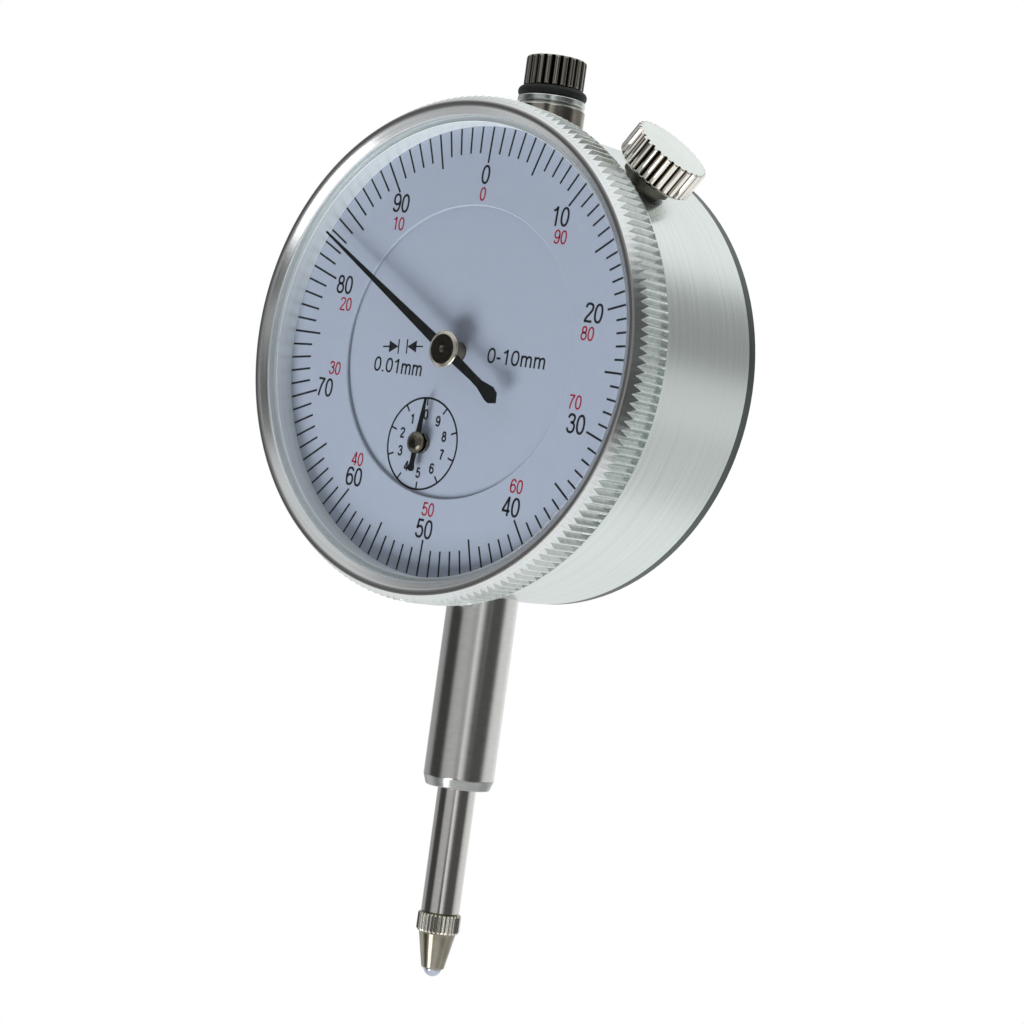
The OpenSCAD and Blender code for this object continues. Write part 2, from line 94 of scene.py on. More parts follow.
def supported(rows, closed, eps=0.045):
    """Rows with two more near the ends of every long stretch, so that smooth shading rounds only the corners."""
    out, k = [], len(rows)
    for i in range(k):
        out.append(rows[i])
        if i == k - 1 and not closed:
            break
        (r0, h0), (r1, h1) = rows[i], rows[(i + 1) % k]
        ln = math.hypot(float(np.mean(r1)) - float(np.mean(r0)), float(np.mean(h1)) - float(np.mean(h0)))
        if ln > 0.22:
            e = min(eps, ln * 0.2) / ln
            for t in (e, 1 - e):
                out.append((r0 + (r1 - r0) * t, h0 + (h1 - h0) * t))
    return out


def lathe(name, rows, M, body, mat, n=192, closed=True, angles=None, sharp=32.0):
    """A turned solid about local z. rows are (radius, height); each may be an array of n numbers.
    A radius of 0 is a pole. closed joins the last row to the first."""
    rows = supported(rows, closed)
    th = np.arange(n) * 2 * math.pi / n if angles is None else np.asarray(angles, float)
    n = len(th)
    verts, idx = [], []
    for r, h in rows:
        if np.isscalar(r) and r == 0:
            idx.append([len(verts)] * n)
            verts.append((0, 0, float(np.mean(h))))
            continue
        rr = np.broadcast_to(np.asarray(r, float), (n,))
        hh = np.broadcast_to(np.asarray(h, float), (n,))
        idx.append(list(range(len(verts), len(verts) + n)))
        verts += [(rr[i] * math.cos(th[i]), rr[i] * math.sin(th[i]), hh[i]) for i in range(n)]
    faces = []
    pairs = list(zip(range(len(rows) - 1), range(1, len(rows))))
    if closed:
        pairs.append((len(rows) - 1, 0))
    for a, b in pairs:
        A, B = idx[a], idx[b]
        if A[0] == A[-1] and B[0] == B[-1]:
            continue
        for i in range(n):
            j = (i + 1) % n
            q = [A[i], A[j], B[j], B[i]]
            q = [k for t, k in enumerate(q) if k not in q[:t]]
            if len(q) >= 3:
                faces.append(q)
    return new_object(name, verts, faces, M, body, mat, sharp=sharp)


def rnd(r, h, dr, dh, k=4):
    """Points of a rounded edge from (r, h) turning through the corner to (r + dr, h + dh): a quarter ellipse whose
    first tangent runs along the height."""
    return [(r + dr * (1 - math.cos(a)), h + dh * math.sin(a)) for a in [i * math.pi / 2 / k for i in range(k + 1)]]


def ridges(n, per, fn):
    """Angles and radii of n equal ridges; fn gives the radius over one pitch, sampled at the places per (0..1)."""
    th, rr = [], []
    for i in range(n):
        for p in per:
            th.append((i + p) * 2 * math.pi / n)
            rr.append(fn(p))
    return np.array(th), np.array(rr)


def prism(name, outlines, M, body, mat, z0, z1, bevel=0.0):
    """Flat plates: each outline is a list of (x, y), extruded from z0 to z1, with a small top chamfer."""
    verts, faces = [], []
    for pts in outlines:
        pts = [tuple(p) for p in pts]
        area = sum(a[0] * b[1] - b[0] * a[1] for a, b in zip(pts, pts[1:] + pts[:1]))
        if area < 0:
            pts = pts[::-1]
        k = len(pts)
        base = len(verts)
        rings = [(pts, z0)]
        if bevel:
            ins = inset(pts, bevel)
            rings += [(pts, z1 - bevel), (ins, z1)]
        else:
            rings += [(pts, z1)]
        for ring, z in rings:
            verts += [(x, y, z) for x, y in ring]
        faces.append([base + i for i in range(k)][::-1])
        for s in range(len(rings) - 1):
            for i in range(k):
                j = (i + 1) % k
                faces.append([base + s * k + i, base + s * k + j, base + (s + 1) * k + j, base + (s + 1) * k + i])
        faces.append([base + (len(rings) - 1) * k + i for i in range(k)])
    return new_object(name, verts, faces, M, body, mat, smooth=False)


def inset(pts, d):
    out, k = [], len(pts)
    for i in range(k):
        a, b, c = Vector(pts[i - 1]), Vector(pts[i]), Vector(pts[(i + 1) % k])
        u, v = (b - a).normalized(), (c - b).normalized()
        n1, n2 = Vector((-u.y, u.x)), Vector((-v.y, v.x))
        s = n1 + n2
        if s.length < 1e-6:
            s = n1
        s = s / max(0.35, s.dot(n1))
        out.append(tuple(b + s * d))
    return out


# ------------------------------------------------------------------ strokes: the printed figures
def smooth_path(pts, per=6, closed=False):
    P = [Vector(p) for p in pts]
    k = len(P)
    out = []
    for i in range(k if closed else k - 1):
        p0 = P[(i - 1) % k] if closed or i > 0 else P[0] * 2 - P[1]
        p1, p2 = P[i], P[(i + 1) % k]
        p3 = P[(i + 2) % k] if closed or i + 2 < k else P[-1] * 2 - P[-2]
        for t in [j / per for j in range(per)]:
            out.append(0.5 * ((2 * p1) + (p2 - p0) * t + (2 * p0 - 5 * p1 + 4 * p2 - p3) * t * t
                              + (3 * p1 - p0 - 3 * p2 + p3) * t ** 3))
    if not closed:
        out.append(P[-1])
    return out


def ribbon(pts, w, closed=False):
    """Quads (as 4-point outlines merged to two rails) along a path of width w."""
    P = [Vector(p) for p in pts]
    k = len(P)
    L, R = [], []
    for i in range(k):
        a = P[i - 1] if (closed or i > 0) else P[i]
        b = P[(i + 1) % k] if (closed or i < k - 1) else P[i]
        u1 = (P[i] - a)
        u2 = (b - P[i])
        u = (u1.normalized() if u1.length > 1e-9 else u2.normalized()) + (u2.normalized() if u2.length > 1e-9 else u1.normalized())
        u.normalize()
        n = Vector((-u.y, u.x))
        ref = u2.normalized() if u2.length > 1e-9 else u1.normalized()
        m = abs(Vector((-ref.y, ref.x)).dot(n))
        s = w / 2 / max(0.5, m)
        L.append(P[i] + n * s)
        R.append(P[i] - n * s)
    return L, R


def ellipse(cx, cy, rx, ry, k=28, e=2.0):
    out = []
    for i in range(k):
        a = 2 * math.pi * i / k
        c, s = math.cos(a), math.sin(a)
        out.append((cx + rx * math.copysign(abs(c) ** (2 / e), c), cy + ry * math.copysign(abs(s) ** (2 / e), s)))
    return out


SIX = [(0.475, 0.785), (0.44, 0.875), (0.36, 0.935), (0.275, 0.945), (0.17, 0.905), (0.095, 0.78), (0.06, 0.58),
       (0.06, 0.38), (0.09, 0.20), (0.16, 0.09), (0.27, 0.055), (0.38, 0.09), (0.46, 0.19), (0.485, 0.325),
       (0.46, 0.46), (0.38, 0.56), (0.28, 0.59), (0.18, 0.56), (0.10, 0.48), (0.063, 0.38)]
# each glyph: width, [(kind, points)], kind c curve, o closed curve, l straight lines
GLYPH = {
    "0": (0.545, [("o", ellipse(0.2725, 0.5, 0.213, 0.443, 28, 2.25))]),
    "1": (0.545, [("l", [(0.335, 0.0), (0.335, 1.0)]), ("c", [(0.325, 0.955), (0.25, 0.845), (0.10, 0.765)])]),
    "2": (0.545, [("c", [(0.06, 0.735), (0.085, 0.86), (0.16, 0.93), (0.275, 0.945), (0.395, 0.915), (0.47, 0.83), (0.475, 0.71),
                         (0.43, 0.59), (0.33, 0.46), (0.20, 0.31), (0.11, 0.18), (0.065, 0.055)]), ("l", [(0.025, 0.055), (0.51, 0.055)])]),
    "3": (0.545, [("c", [(0.065, 0.755), (0.10, 0.87), (0.17, 0.935), (0.265, 0.945), (0.375, 0.915), (0.44, 0.84), (0.445, 0.73),
                         (0.40, 0.61), (0.31, 0.555), (0.21, 0.545)]),
                  ("c", [(0.25, 0.55), (0.37, 0.53), (0.455, 0.445), (0.485, 0.32), (0.455, 0.18), (0.375, 0.085), (0.265, 0.055),
                         (0.165, 0.08), (0.09, 0.15), (0.055, 0.265)])]),
    "4": (0.545, [("l", [(0.39, 0.0), (0.39, 1.0)]), ("l", [(0.38, 0.955), (0.055, 0.285)]), ("l", [(0.01, 0.265), (0.535, 0.265)])]),
    "5": (0.545, [("l", [(0.475, 0.94), (0.115, 0.94)]), ("l", [(0.155, 0.965), (0.09, 0.48)]),
                  ("c", [(0.085, 0.49), (0.165, 0.585), (0.275, 0.615), (0.385, 0.58), (0.46, 0.48), (0.485, 0.335), (0.455, 0.185),
                         (0.375, 0.085), (0.265, 0.055), (0.165, 0.08), (0.09, 0.15), (0.055, 0.25)])]),
    "6": (0.545, [("c", SIX)]),
    "7": (0.545, [("l", [(0.045, 0.94), (0.505, 0.94)]), ("c", [(0.475, 0.93), (0.36, 0.73), (0.265, 0.48), (0.21, 0.22), (0.19, 0.0)])]),
    "8": (0.545, [("o", ellipse(0.2725, 0.742, 0.172, 0.203, 24, 2.1)), ("o", ellipse(0.2725, 0.298, 0.212, 0.243, 24, 2.1))]),
    "9": (0.545, [("c", [(0.545 - x, 1 - y) for x, y in SIX])]),
    ".": (0.27, [("l", [(0.135, 0.0), (0.135, 0.13)])]),
    "-": (0.30, [("l", [(0.02, 0.365), (0.28, 0.365)])]),
    "m": (0.80, [("l", [(0.10, 0.0), (0.10, 0.74)]),
                 ("c", [(0.10, 0.50), (0.15, 0.63), (0.25, 0.685), (0.35, 0.66), (0.40, 0.56), (0.405, 0.42)]), ("l", [(0.405, 0.45), (0.405, 0.0)]),
                 ("c", [(0.405, 0.50), (0.46, 0.63), (0.56, 0.685), (0.655, 0.66), (0.705, 0.56), (0.71, 0.42)]), ("l", [(0.71, 0.45), (0.71, 0.0)])]),
}


def glyph_quads(text, h, wt, cx, cy, rot=0.0, cond=1.0, space=0.055):
    """Quads of the strokes of a line of figures, h tall, centred at (cx, cy)."""
    width = sum(GLYPH[c][0] + space for c in text) - space
    quads, x = [], -width / 2
    cr, sr = math.cos(rot), math.sin(rot)

    def place(p, x0):
        u, v = (p[0] + x0) * cond * h, (p[1] - 0.5) * h
        return (cx + u * cr + v * sr, cy - u * sr + v * cr)

    for c in text:
        w, strokes = GLYPH[c]
        for kind, pts in strokes:
            closed = kind == "o"
            path = smooth_path(pts, 4, closed) if kind in "co" else [Vector(p) for p in pts]
            path = [Vector((p[0] * cond, p[1])) for p in path]
            L, R = ribbon(path, wt * (1.15 if c == "." else 1.0), closed)
            k = len(path)
            for i in range(k if closed else k - 1):
                j = (i + 1) % k
                quads.append([place((q[0] / cond, q[1]), x) for q in (L[i], L[j], R[j], R[i])])
        x += w + space
    return quads


def bar(x0, y0, x1, y1, w):
    a, b = Vector((x0, y0)), Vector((x1, y1))
    u = (b - a).normalized()
    n = Vector((-u.y, u.x)) * w / 2
    return [tuple(a + n), tuple(b + n), tuple(b - n), tuple(a - n)]


def pol(r, a, cx=0.0, cy=0.0):
    return (cx + r * math.sin(a), cy + r * math.cos(a))


# ------------------------------------------------------------------ materials
class Tree:
    def __init__(self, name):
        self.mat = bpy.data.materials.new(name)
        self.mat.use_nodes = True
        self.nt = self.mat.node_tree
        self.nt.nodes.clear()
        self.out = self.n("ShaderNodeOutputMaterial")
        self.bsdf = self.n("ShaderNodeBsdfPrincipled")
        self.link(self.bsdf.outputs[0], self.out.inputs[0])

    def n(self, kind, **kw):
        node = self.nt.nodes.new(kind)
        for k, v in kw.items():
            setattr(node, k, v)
        return node

    def link(self, a, b):
        self.nt.links.new(a, b)

    def val(self, name, v):
        self.bsdf.inputs[name].default_value = v

    def math(self, op, a, b=None, c=None, clamp=False):
        m = self.n("ShaderNodeMath", operation=op, use_clamp=clamp)
        for i, v in enumerate((a, b, c)):
            if v is None:
                continue
            if isinstance(v, (int, float)):
                m.inputs[i].default_value = v
            else:
                self.link(v, m.inputs[i])
        return m.outputs[0]

    def ramp(self, fac, stops, interp="LINEAR"):
        r = self.n("ShaderNodeValToRGB")
        r.color_ramp.interpolation = interp
        e = r.color_ramp.elements
        e[0].position, e[0].color = stops[0][0], rgba(stops[0][1])
        e[1].position, e[1].color = stops[-1][0], rgba(stops[-1][1])
        for p, c in stops[1:-1]:
            x = e.new(p)
            x.color = rgba(c)
        self.link(fac, r.inputs[0])
        return r.outputs[0]

    def map(self, v, a, b, c, d):
        m = self.n("ShaderNodeMapRange")
        self.link(v, m.inputs["Value"])
        for k, x in (("From Min", a), ("From Max", b), ("To Min", c), ("To Max", d)):
            m.inputs[k].default_value = x
        return m.outputs[0]

    def coords(self):
        return self.n("ShaderNodeTexCoord").outputs["Object"]

    def noise(self, vec, scale, detail=2.0, rough=0.5):
        t = self.n("ShaderNodeTexNoise")
        t.inputs["Scale"].default_value = scale
        t.inputs["Detail"].default_value = detail
        t.inputs["Roughness"].default_value = rough
        self.link(vec, t.inputs["Vector"])
        return t.outputs["Fac"]

    def about(self, axis, origin):
        """Radius, height along the axis, and the unit direction round it, of the shaded point, in mm."""
        sub = self.n("ShaderNodeVectorMath", operation="SUBTRACT")
        self.link(self.coords(), sub.inputs[0])
        sub.inputs[1].default_value = [c * MM for c in origin]
        sc = self.n("ShaderNodeVectorMath", operation="SCALE")
        self.link(sub.outputs[0], sc.inputs[0])
        sc.inputs["Scale"].default_value = 1000.0
        p = sc.outputs[0]
        ax = Vector(axis).normalized()
        dot = self.n("ShaderNodeVectorMath", operation="DOT_PRODUCT")
        self.link(p, dot.inputs[0])
        dot.inputs[1].default_value = ax
        h = dot.outputs["Value"]
        along = self.n("ShaderNodeVectorMath", operation="SCALE")
        along.inputs[0].default_value = ax
        self.link(h, along.inputs["Scale"])
        rad = self.n("ShaderNodeVectorMath", operation="SUBTRACT")
        self.link(p, rad.inputs[0])
        self.link(along.outputs[0], rad.inputs[1])
        ln = self.n("ShaderNodeVectorMath", operation="LENGTH")
        self.link(rad.outputs[0], ln.inputs[0])
        nm = self.n("ShaderNodeVectorMath", operation="NORMALIZE")
        self.link(rad.outputs[0], nm.inputs[0])
        return ln.outputs["Value"], h, nm.outputs[0]

    def bump(self, height, strength, dist, normal=None):
        b = self.n("ShaderNodeBump")
        b.inputs["Strength"].default_value = strength
        b.inputs["Distance"].default_value = dist
        self.link(height, b.inputs["Height"])
        if normal is not None:
            self.link(normal, b.inputs["Normal"])
        return b.outputs[0]


def rgba(c):
    c = tuple(c)
    return c if len(c) == 4 else c + (1.0,)


def turned_metal(name, axis, origin, c0, c1, rough, streak=7.0, streak_b=1.6, aniso=0.6, bump=0.25, bump_mm=0.004, rs=0.06, coarse=None):
    """Metal with lathe lines round an axis: fine streaks in colour, roughness and height."""
    t = Tree(name)
    r, h, d = t.about(axis, origin)
    s = t.math("ADD", t.math("MULTIPLY", r, 1.0), t.math("MULTIPLY", h, 0.83))
    sd = t.n("ShaderNodeVectorMath", operation="SCALE")
    t.link(d, sd.inputs[0])
    sd.inputs["Scale"].default_value = streak_b
    fine = t.n("ShaderNodeCombineXYZ")
    t.link(t.math("MULTIPLY", s, streak), fine.inputs[0])
    ad = t.n("ShaderNodeVectorMath", operation="ADD")
    t.link(fine.outputs[0], ad.inputs[0])
    t.link(sd.outputs[0], ad.inputs[1])
    n1 = t.noise(ad.outputs[0], 1.0, 3.0, 0.65)
    fine2 = t.n("ShaderNodeCombineXYZ")
    t.link(t.math("MULTIPLY", s, streak * 0.21), fine2.inputs[0])
    ad2 = t.n("ShaderNodeVectorMath", operation="ADD")
    t.link(fine2.outputs[0], ad2.inputs[0])
    t.link(sd.outputs[0], ad2.inputs[1])
    n2 = t.noise(ad2.outputs[0], 1.0, 2.0, 0.5)
    mix = t.math("ADD", t.math("MULTIPLY", n1, 0.65), t.math("MULTIPLY", n2, 0.35))
    col = t.ramp(mix, [(0.32, c0), (0.68, c1)])
    t.link(col, t.bsdf.inputs["Base Color"])
    t.link(t.map(mix, 0.3, 0.7, rough - rs, rough + rs), t.bsdf.inputs["Roughness"])
    t.val("Metallic", 1.0)
    t.val("Anisotropic", aniso)
    t.val("Anisotropic Rotation", 0.25)
    tg = t.n("ShaderNodeTangent", direction_type="RADIAL")
    ax = [abs(a) for a in axis]
    tg.axis = "XYZ"[ax.index(max(ax))]
    t.link(tg.outputs[0], t.bsdf.inputs["Tangent"])
    t.link(t.bump(mix, bump, bump_mm * MM), t.bsdf.inputs["Normal"])
    return t.mat


def plain_metal(name, c0, c1, rough, scale=900.0, bump=0.06, rs=0.05, metallic=1.0, coat=0.0):
    t = Tree(name)
    n1 = t.noise(t.coords(), scale, 3.0, 0.6)
    n2 = t.noise(t.coords(), scale * 0.13, 2.0, 0.5)
    mix = t.math("ADD", t.math("MULTIPLY", n1, 0.6), t.math("MULTIPLY", n2, 0.4))
    t.link(t.ramp(mix, [(0.35, c0), (0.65, c1)]), t.bsdf.inputs["Base Color"])
    t.link(t.map(mix, 0.3, 0.7, rough - rs, rough + rs), t.bsdf.inputs["Roughness"])
    t.val("Metallic", metallic)
    t.val("Coat Weight", coat)
    t.link(t.bump(n1, bump, 0.003 * MM), t.bsdf.inputs["Normal"])
    return t.mat


def ground_metal(name, c0, c1, rough, k_long=0.25, k_round=16.0, aniso=0.0, axis=(0, 0, 1), origin=(0, 0, 0), bump=0.08):
    """Steel ground along its own axis by rolling: faint rings plus fine grain."""
    t = Tree(name)
    r, h, d = t.about(axis, origin)
    sd = t.n("ShaderNodeVectorMath", operation="SCALE")
    t.link(d, sd.inputs[0])
    sd.inputs["Scale"].default_value = 2.2
    c = t.n("ShaderNodeCombineXYZ")
    t.link(t.math("MULTIPLY", h, k_round), c.inputs[2])
    ad = t.n("ShaderNodeVectorMath", operation="ADD")
    t.link(c.outputs[0], ad.inputs[0])
    t.link(sd.outputs[0], ad.inputs[1])
    n1 = t.noise(ad.outputs[0], 1.0, 3.0, 0.7)
    n2 = t.noise(t.coords(), 1400.0, 2.0, 0.5)
    mix = t.math("ADD", t.math("MULTIPLY", n1, 0.7), t.math("MULTIPLY", n2, 0.3))
    t.link(t.ramp(mix, [(0.35, c0), (0.65, c1)]), t.bsdf.inputs["Base Color"])
    t.link(t.map(mix, 0.3, 0.7, rough - 0.035, rough + 0.035), t.bsdf.inputs["Roughness"])
    t.val("Metallic", 1.0)
    t.val("Anisotropic", aniso)
    t.val("Anisotropic Rotation", 0.25)
    tg = t.n("ShaderNodeTangent", direction_type="RADIAL")
    tg.axis = "Z"
    t.link(tg.outputs[0], t.bsdf.inputs["Tangent"])
    t.link(t.bump(n1, bump, 0.002 * MM), t.bsdf.inputs["Normal"])
    return t.mat


def satin_paint(name, c0, c1, rough, scale, spec=0.4, bump=0.05):
    t = Tree(name)
    n1 = t.noise(t.coords(), scale, 3.0, 0.6)
    n2 = t.noise(t.coords(), scale * 0.02, 2.0, 0.5)
    mix = t.math("ADD", t.math("MULTIPLY", n1, 0.5), t.math("MULTIPLY", n2, 0.5))
    t.link(t.ramp(mix, [(0.35, c0), (0.65, c1)]), t.bsdf.inputs["Base Color"])
    t.link(t.map(mix, 0.3, 0.7, rough - 0.04, rough + 0.04), t.bsdf.inputs["Roughness"])
    t.val("Specular IOR Level", spec)
    t.link(t.bump(n1, bump, 0.003 * MM), t.bsdf.inputs["Normal"])
    return t.mat


AXY = (0, 1, 0)
ODIAL = (0, -DO, DZ)
M_ALU = turned_metal("alu_turned", AXY, ODIAL, (0.70, 0.75, 0.73), (0.88, 0.94, 0.92), 0.25, streak=9.0, streak_b=0.45, aniso=0.75, bump=0.26)
M_FACE = turned_metal("alu_face", AXY, ODIAL, (0.72, 0.74, 0.745), (0.90, 0.92, 0.925), 0.17, streak=7.0, aniso=0.55, bump=0.12, rs=0.04)
M_KNURL = plain_metal("alu_knurl", (0.67, 0.72, 0.70), (0.84, 0.89, 0.87), 0.24, 1500.0, bump=0.03)
M_WALL = turned_metal("alu_wall", AXY, ODIAL, (0.84, 0.87, 0.86), (0.98, 1.0, 0.99), 0.42, streak=6.0, streak_b=0.9, aniso=0.4, bump=0.30)
M_WALL.node_tree.nodes["Principled BSDF"].inputs["Metallic"].default_value = 0.42
# darker copies of the turned aluminium for the bezel's front annulus and inner cone: painted shade, standing in for the
# dark surroundings they reflect
M_ANN = turned_metal("alu_annulus", AXY, ODIAL, (0.37, 0.37, 0.36), (0.53, 0.535, 0.525), 0.38, streak=8.0, aniso=0.4, bump=0.2)
M_CONE = turned_metal("alu_cone", AXY, ODIAL, (0.48, 0.49, 0.50), (0.68, 0.69, 0.69), 0.24, streak=7.0, aniso=0.5, bump=0.30)
# darker copy of the bore's aluminium for the short wall and seat above the window: painted shade
M_SEAT = turned_metal("alu_seat", AXY, ODIAL, (0.66, 0.69, 0.70), (0.84, 0.87, 0.88), 0.48, streak=8.0, aniso=0.3, bump=0.25)
M_SEAT.node_tree.nodes["Principled BSDF"].inputs["Metallic"].default_value = 0.80
M_DARK = turned_metal("cover_dark", AXY, ODIAL, (0.10, 0.115, 0.115), (0.17, 0.19, 0.19), 0.42, streak=6.0, aniso=0.4, bump=0.2)
M_STEM = ground_metal("stem_steel", (0.74, 0.725, 0.705), (0.84, 0.825, 0.805), 0.15)
M_CHAM = ground_metal("stem_chamfer", (0.36, 0.37, 0.36), (0.46, 0.47, 0.46), 0.20)
M_SPINDLE = ground_metal("spindle_steel", (0.76, 0.735, 0.705), (0.86, 0.835, 0.805), 0.075, k_round=9.0)
M_BALL = plain_metal("ball_steel", (0.52, 0.55, 0.64), (0.60, 0.63, 0.72), 0.08, 900.0, bump=0.02, rs=0.02)
M_NICKEL = plain_metal("nickel", (0.70, 0.68, 0.64), (0.84, 0.82, 0.78), 0.10, 700.0, bump=0.05, rs=0.03)
# darker copy of the nickel for the top bush's body: a painted dark reflection
M_NICKEL_PAINTED_DARK = plain_metal("nickel_bush_painted_dark_reflection", (0.30, 0.28, 0.23), (0.43, 0.41, 0.35), 0.10, 700.0, bump=0.05, rs=0.03)
M_HUB = plain_metal("hub_metal", (0.56, 0.50, 0.41), (0.72, 0.66, 0.56), 0.16, 900.0, bump=0.04, rs=0.03)
M_HUBD = plain_metal("hub_dark", (0.24, 0.185, 0.13), (0.40, 0.32, 0.23), 0.20, 900.0, bump=0.04, rs=0.03)
# dark copy of the hub metal for the small pointer's hub: a painted dark reflection on its dome
M_HUBS = plain_metal("hub_small", (0.125, 0.115, 0.088), (0.21, 0.195, 0.15), 0.15, 900.0, bump=0.04, rs=0.03)
# near-black clamp bush: a painted shadow under the clamp knob
M_CBUSH_PAINTED_SHADOW = plain_metal("clamp_bush_painted_shadow", (0.07, 0.068, 0.055), (0.13, 0.125, 0.10), 0.30, 900.0, bump=0.04, rs=0.03)
# darker copy of the nickel for the contact point's body and cone: a painted dark reflection
M_TIP = plain_metal("tip_nickel", (0.29, 0.265, 0.21), (0.42, 0.39, 0.32), 0.13, 700.0, bump=0.05, rs=0.03)
M_HUBFACE = turned_metal("hub_face", AXY, ODIAL, (0.085, 0.072, 0.055), (0.17, 0.145, 0.115), 0.32, streak=8.0, aniso=0.3, bump=0.15)
M_RUBBER = satin_paint("rubber_black", (0.012, 0.012, 0.013), (0.030, 0.030, 0.032), 0.55, 900.0, 0.35, bump=0.15)
M_DIAL = satin_paint("dial_lacquer", (0.313, 0.345, 0.425), (0.332, 0.365, 0.445), 0.42, 1100.0, 0.35, bump=0.02)
# slightly lighter tone for the dial ring's inner chamfer: a painted highlight along that edge
M_EDGE = satin_paint("dial_edge", (0.355, 0.385, 0.455), (0.39, 0.42, 0.49), 0.45, 900.0, 0.3)
M_BLACK = satin_paint("print_black", (0.010, 0.010, 0.012), (0.018, 0.018, 0.020), 0.45, 1500.0, 0.3)
M_RED = satin_paint("print_red", (0.235, 0.010, 0.022), (0.30, 0.016, 0.03), 0.45, 1500.0, 0.3)
M_POINT = satin_paint("pointer_black", (0.006, 0.0065, 0.0065), (0.013, 0.014, 0.014), 0.42, 1200.0, 0.22)
M_BRASS = plain_metal("brass_fine", (0.72, 0.56, 0.27), (0.86, 0.70, 0.38), 0.28, 800.0)
M_STEEL = plain_metal("screw_steel", (0.50, 0.50, 0.51), (0.66, 0.66, 0.67), 0.25, 900.0)
M_SPRING = plain_metal("spring_steel", (0.36, 0.37, 0.40), (0.52, 0.53, 0.56), 0.28, 900.0)
M_JEWEL = satin_paint("jewel_red", (0.45, 0.04, 0.07), (0.60, 0.07, 0.11), 0.12, 700.0, 0.6)
M_ALUW = turned_metal("alu_washer", (0, 0, 1), (0, 0, DZ), (0.60, 0.64, 0.62), (0.80, 0.85, 0.83), 0.20, streak=9.0, aniso=0.5, bump=0.15)
M_KTOP = turned_metal("knob_top", (math.sin(CA), 0, math.cos(CA)), (0, CD - DO, DZ), (0.80, 0.84, 0.80), (0.90, 0.94, 0.90), 0.35, streak=5.0, aniso=0.3, bump=0.12)
M_SHADOW = plain_metal("alu_inner", (0.62, 0.66, 0.67), (0.80, 0.84, 0.85), 0.24, 1200.0)



def knurled_nickel(name, axis, origin, r0, r1, dark, mid, light, rough):
    """Nickel plate, its colour ramped by radius: painted shade, dark in the grooves (radius r0), up to a painted
    highlight, bright on the crests (radius r1).
    """
    t = Tree(name)
    r, h, d = t.about(axis, origin)
    n1 = t.noise(t.coords(), 700.0, 2.0, 0.5)
    k = t.math("ADD", t.map(r, r0, r1, 0.0, 1.0), t.math("MULTIPLY", t.math("SUBTRACT", n1, 0.5), 0.25))
    t.link(t.ramp(k, [(0.0, dark), (0.45, mid), (0.85, light)]), t.bsdf.inputs["Base Color"])
    t.val("Metallic", 1.0)
    t.val("Roughness", rough)
    t.link(t.bump(n1, 0.05, 0.003 * MM), t.bsdf.inputs["Normal"])
    return t.mat


# knob, cap and contact-point knurls: the groove shade and crest highlights are painted into the colour; the cap's
# colours, dark throughout, are also a painted dark reflection
M_KNOB = knurled_nickel("nickel_knob", (math.sin(CA), 0, math.cos(CA)), (0, CD - DO, DZ), 4.14, 4.54, (0.035, 0.028, 0.02), (0.30, 0.255, 0.195), (0.97, 0.94, 0.87), 0.09)
M_CAPK = knurled_nickel("nickel_cap", (0, 0, 1), (0, 0, DZ), 3.18, 3.45, (0.022, 0.020, 0.016), (0.075, 0.068, 0.055), (0.36, 0.34, 0.30), 0.085)
M_TIPK = knurled_nickel("nickel_tip", (0, 0, 1), (0, 0, DZ), 2.27, 2.44, (0.30, 0.275, 0.22), (0.74, 0.71, 0.63), (0.97, 0.95, 0.89), 0.16)

# the window: clear, with its own reflection by angle
tc = bpy.data.materials.new("crystal_clear")
tc.use_nodes = True
nt = tc.node_tree
nt.nodes.clear()
o_ = nt.nodes.new("ShaderNodeOutputMaterial")
mx = nt.nodes.new("ShaderNodeMixShader")
fr = nt.nodes.new("ShaderNodeFresnel")
fr.inputs["IOR"].default_value = 1.45
tr = nt.nodes.new("ShaderNodeBsdfTransparent")
tr.inputs[0].default_value = (0.975, 0.985, 0.99, 1)
gl = nt.nodes.new("ShaderNodeBsdfGlossy")
gl.inputs["Roughness"].default_value = 0.02
gl.inputs["Color"].default_value = (1, 1, 1, 1)
geo = nt.nodes.new("ShaderNodeNewGeometry")
inv = nt.nodes.new("ShaderNodeMath")
inv.operation = "SUBTRACT"
inv.inputs[0].default_value = 1.0
nt.links.new(geo.outputs["Backfacing"], inv.inputs[1])
mul = nt.nodes.new("ShaderNodeMath")
mul.operation = "MULTIPLY"
nt.links.new(fr.outputs[0], mul.inputs[0])
nt.links.new(inv.outputs[0], mul.inputs[1])
nt.links.new(mul.outputs[0], mx.inputs[0])
nt.links.new(tr.outputs[0], mx.inputs[1])
nt.links.new(gl.outputs[0], mx.inputs[2])
nt.links.new(mx.outputs[0], o_.inputs[0])
M_CLEAR = tc

